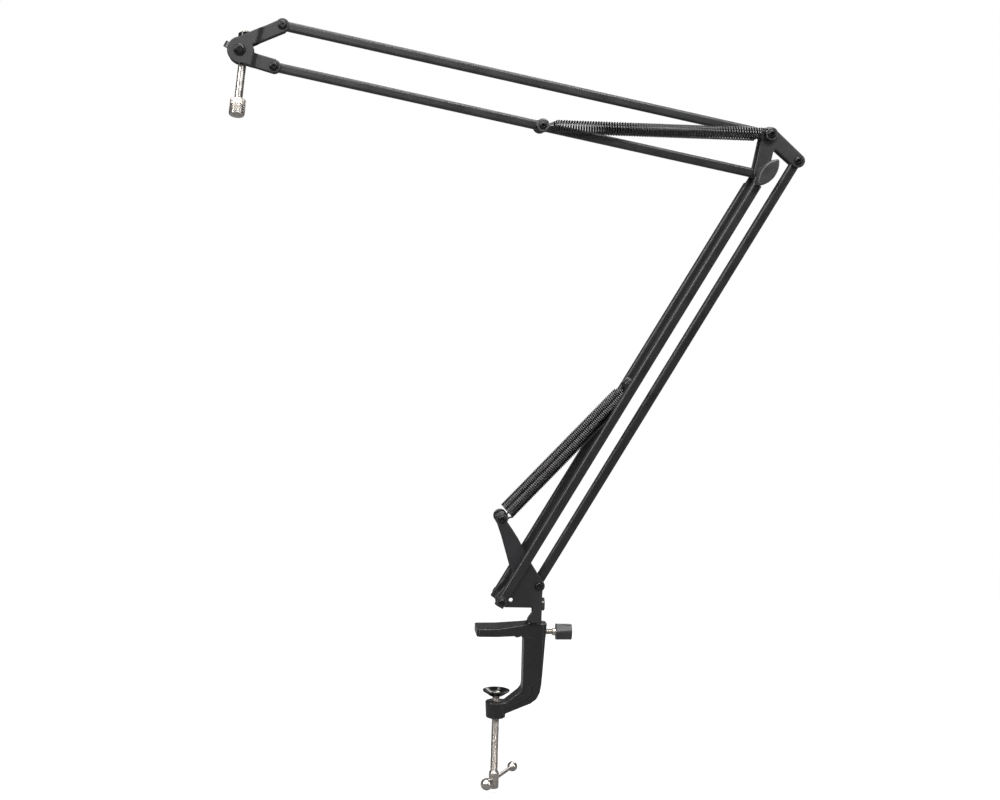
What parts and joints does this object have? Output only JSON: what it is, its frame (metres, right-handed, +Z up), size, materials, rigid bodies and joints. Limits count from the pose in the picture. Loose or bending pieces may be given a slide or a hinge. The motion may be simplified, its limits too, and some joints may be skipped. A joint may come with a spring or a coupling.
{
  "type": "microphone boom arm",
  "caption": "Spring-balanced scissor boom arm on a desk clamp, square-tube parallelogram links, swivel foot, and a threaded microphone post at the head.",
  "frame": {"origin": "centre of the upper jaw's underside, on the desk contact face", "axes": "+Z up; +X from the jaw's free end towards the post and the lock knob; +Y away from the elbow knob's side"},
  "size_m": [0.597, 0.09, 0.7892],
  "materials": {
    "arm_tube": "satin black powder coat, fine texture",
    "sheet": "satin black powder coat",
    "casting": "semi-gloss black paint on a casting",
    "black_fastener": "glossy black oxide",
    "spring_wire": "black-oiled drawn wire",
    "bright_steel": "bright nickel plate",
    "spacer_steel": "dark zinc plate",
    "bush_plastic": "black nylon",
    "knob_plastic": "moulded black plastic, light texture"
  },
  "bodies": {
    "clamp": {"clamp_body": "casting"},
    "pad": {"pressure_pad": "black_fastener"},
    "screw": {"clamp_screw": "bright_steel"},
    "handle": {"tommy_bar": "bright_steel", "tommy_balls": "bright_steel"},
    "lock_collar": {"lock_washer": "bright_steel"},
    "lock": {"lock_screw": "bright_steel", "lock_knob": "knob_plastic"},
    "base": {"base_bracket": "sheet", "swivel_pin": "spacer_steel", "swivel_pin_nut": "spacer_steel", "web_screw": "spacer_steel", "web_nut": "spacer_steel", "bracket_bolts": "black_fastener", "bracket_nuts": "black_fastener", "bracket_spacers": "spacer_steel", "front_pivot_bolt": "black_fastener", "front_pivot_washers": "spacer_steel", "horn_spools": "spacer_steel"},
    "lower_front": {"front_tube_near": "arm_tube", "front_tube_far": "arm_tube", "front_tube_bushes": "bush_plastic", "lower_spring_pin": "spacer_steel", "lower_spring_pin_spools": "spacer_steel", "lower_spring_pin_nuts": "spacer_steel"},
    "lower_rear": {"rear_tube": "arm_tube", "rear_tube_bushes": "bush_plastic"},
    "lower_spring_coils": {"lower_springs": "spring_wire"},
    "lower_spring_ends": {"lower_spring_end_turns": "spring_wire"},
    "lower_spring_hooks": {"lower_spring_end_hooks": "spring_wire"},
    "elbow": {"elbow_plate_near": "sheet", "elbow_plate_far": "sheet", "elbow_bolt": "black_fastener", "elbow_washers": "spacer_steel", "elbow_spacers": "spacer_steel", "elbow_spools": "spacer_steel", "elbow_top_bolt": "black_fastener", "elbow_rear_bolt": "black_fastener", "elbow_nuts": "black_fastener"},
    "elbow_knob": {"wing_knob": "knob_plastic"},
    "upper_low": {"upper_low_tube": "arm_tube", "upper_low_tube_bushes": "bush_plastic", "upper_spring_bolt": "black_fastener", "upper_spring_nut": "black_fastener", "upper_spring_spools": "spacer_steel"},
    "upper_top": {"upper_top_tube": "arm_tube", "upper_top_tube_bushes": "bush_plastic"},
    "upper_spring_coils": {"upper_springs": "spring_wire"},
    "upper_spring_ends": {"upper_spring_end_turns": "spring_wire"},
    "upper_spring_hooks": {"upper_spring_end_hooks": "spring_wire"},
    "head": {"head_plate_near": "sheet", "head_plate_far": "sheet", "head_pivot_bolts": "black_fastener", "head_pivot_nuts": "black_fastener"},
    "head_drum": {"swivel_block": "black_fastener", "head_bolt": "black_fastener"},
    "head_wing": {"wing_screw": "knob_plastic"},
    "mic_post": {"mic_pin": "bright_steel", "thread_adaptor": "bright_steel"}
  },
  "joints": [
    {"name": "pad_travel", "type": "slide", "parent": "clamp", "child": "pad", "axis": [0, 0, 1], "range_m": [-0.004, 0.05]},
    {"name": "screw_turn", "type": "hinge", "parent": "pad", "child": "screw", "pos_m": [0.0027, 0, -0.1], "axis": [0, 0, 1], "continuous": true},
    {"name": "handle_slide", "type": "slide", "parent": "screw", "child": "handle", "axis": [0.4695, 0.8829, 0], "range_m": [-0.041, 0.007]},
    {"name": "lock_travel", "type": "slide", "parent": "clamp", "child": "lock_collar", "axis": [1, 0, 0], "range_m": [-0.0002, 0.006]},
    {"name": "lock_turn", "type": "hinge", "parent": "lock_collar", "child": "lock", "pos_m": [0.07, 0, 0.0024], "axis": [1, 0, 0], "continuous": true},
    {"name": "swivel", "type": "hinge", "parent": "clamp", "child": "base", "pos_m": [0.0398, 0, 0.014], "axis": [0, 0, 1], "continuous": true},
    {"name": "lower_tilt", "type": "hinge", "parent": "base", "child": "lower_front", "pos_m": [0.0034, 0, 0.0388], "axis": [0, -1, 0], "range_deg": [-20, 20], "stiffness_Nm_per_rad": 14, "springref_deg": 2.04},
    {"name": "lower_rear_tilt", "type": "hinge", "parent": "base", "child": "lower_rear", "pos_m": [0.0423, 0, 0.0537], "axis": [0, -1, 0], "range_deg": [-21, 21], "stiffness_Nm_per_rad": 2, "springref_deg": 5.43},
    {"name": "elbow_level", "type": "hinge", "parent": "lower_front", "child": "elbow", "pos_m": [0.25988, 0, 0.48447], "axis": [0, -1, 0], "range_deg": [-21, 21], "stiffness_Nm_per_rad": 8, "springref_deg": -14.29},
    {"name": "elbow_knob_turn", "type": "hinge", "parent": "elbow", "child": "elbow_knob", "pos_m": [0.25988, -0.025, 0.48447], "axis": [0, -1, 0], "continuous": true},
    {"name": "upper_tilt", "type": "hinge", "parent": "elbow", "child": "upper_low", "pos_m": [0.25988, 0, 0.48447], "axis": [0, -1, 0], "range_deg": [-25, 20], "stiffness_Nm_per_rad": 10, "springref_deg": -8.17},
    {"name": "upper_top_tilt", "type": "hinge", "parent": "elbow", "child": "upper_top", "pos_m": [0.26768, 0, 0.52547], "axis": [0, -1, 0], "range_deg": [-26, 21], "stiffness_Nm_per_rad": 4, "springref_deg": -5.21},
    {"name": "head_level", "type": "hinge", "parent": "upper_low", "child": "head", "pos_m": [-0.23909, 0, 0.57605], "axis": [0, -1, 0], "range_deg": [-21, 26], "stiffness_Nm_per_rad": 2, "springref_deg": -1.44},
    {"name": "head_turn", "type": "hinge", "parent": "head", "child": "head_drum", "pos_m": [-0.27309, 0, 0.59085], "axis": [0, -1, 0], "range_deg": [-1, 15], "stiffness_Nm_per_rad": 1},
    {"name": "head_wing_turn", "type": "hinge", "parent": "head_drum", "child": "head_wing", "pos_m": [-0.27309, 0.018, 0.59085], "axis": [0, -1, 0], "continuous": true},
    {"name": "mic_post_slide", "type": "slide", "parent": "head_drum", "child": "mic_post", "axis": [-0.0754, -0.342, -0.9367], "range_m": [-0.022, 0.006], "stiffness_N_per_m": 150, "springref_m": -0.00332},
    {"name": "lower_spring_swing", "type": "hinge", "parent": "base", "child": "lower_spring_coils", "pos_m": [0.0022, 0, 0.1234], "axis": [0, -1, 0], "range_deg": [-14, 14], "stiffness_Nm_per_rad": 2, "springref_deg": 3.1},
    {"name": "lower_spring_stretch", "type": "slide", "parent": "lower_spring_coils", "child": "lower_spring_ends", "axis": [-0.9471, 0, 0.3209], "range_m": [-0.0505, 0.0505], "stiffness_N_per_m": 10, "springref_m": 0.00122, "deforming": ["lower_springs"]},
    {"name": "lower_hook_swing", "type": "hinge", "parent": "lower_front", "child": "lower_spring_hooks", "pos_m": [0.13269, 0, 0.26345], "axis": [0, -1, 0], "range_deg": [-8, 8]},
    {"name": "upper_spring_swing", "type": "hinge", "parent": "elbow", "child": "upper_spring_coils", "pos_m": [0.26768, 0, 0.52547], "axis": [0, -1, 0], "range_deg": [-20, 17], "stiffness_Nm_per_rad": 2, "springref_deg": -6.97},
    {"name": "upper_spring_stretch", "type": "slide", "parent": "upper_spring_coils", "child": "upper_spring_ends", "axis": [-0.6378, 0, -0.7702], "range_m": [-0.0292, 0.0242], "stiffness_N_per_m": 10, "springref_m": -0.00295, "deforming": ["upper_springs"]},
    {"name": "upper_hook_swing", "type": "hinge", "parent": "upper_low", "child": "upper_spring_hooks", "pos_m": [0.03198, 0, 0.5263], "axis": [0, -1, 0], "range_deg": [-6, 7]}
  ],
  "couplings": [
    {"joint": "screw_turn", "follows": "pad_travel", "rad_per_m": 5026.5},
    {"joint": "lock_turn", "follows": "lock_travel", "rad_per_m": 6283.2},
    {"joint": "lower_rear_tilt", "follows": "lower_tilt", "ratio": 1},
    {"joint": "elbow_level", "follows": "lower_tilt", "ratio": -1},
    {"joint": "lower_spring_swing", "follows": "lower_tilt", "ratio": 0.64126},
    {"joint": "lower_spring_stretch", "follows": "lower_tilt", "m_per_rad": 0.14193},
    {"joint": "lower_hook_swing", "follows": "lower_tilt", "ratio": -0.35874},
    {"joint": "upper_top_tilt", "follows": "upper_tilt", "ratio": 1},
    {"joint": "head_level", "follows": "upper_tilt", "ratio": -1},
    {"joint": "upper_spring_swing", "follows": "upper_tilt", "ratio": 0.75729},
    {"joint": "upper_spring_stretch", "follows": "upper_tilt", "m_per_rad": 0.065883},
    {"joint": "upper_hook_swing", "follows": "upper_tilt", "ratio": -0.24271}
  ]
}
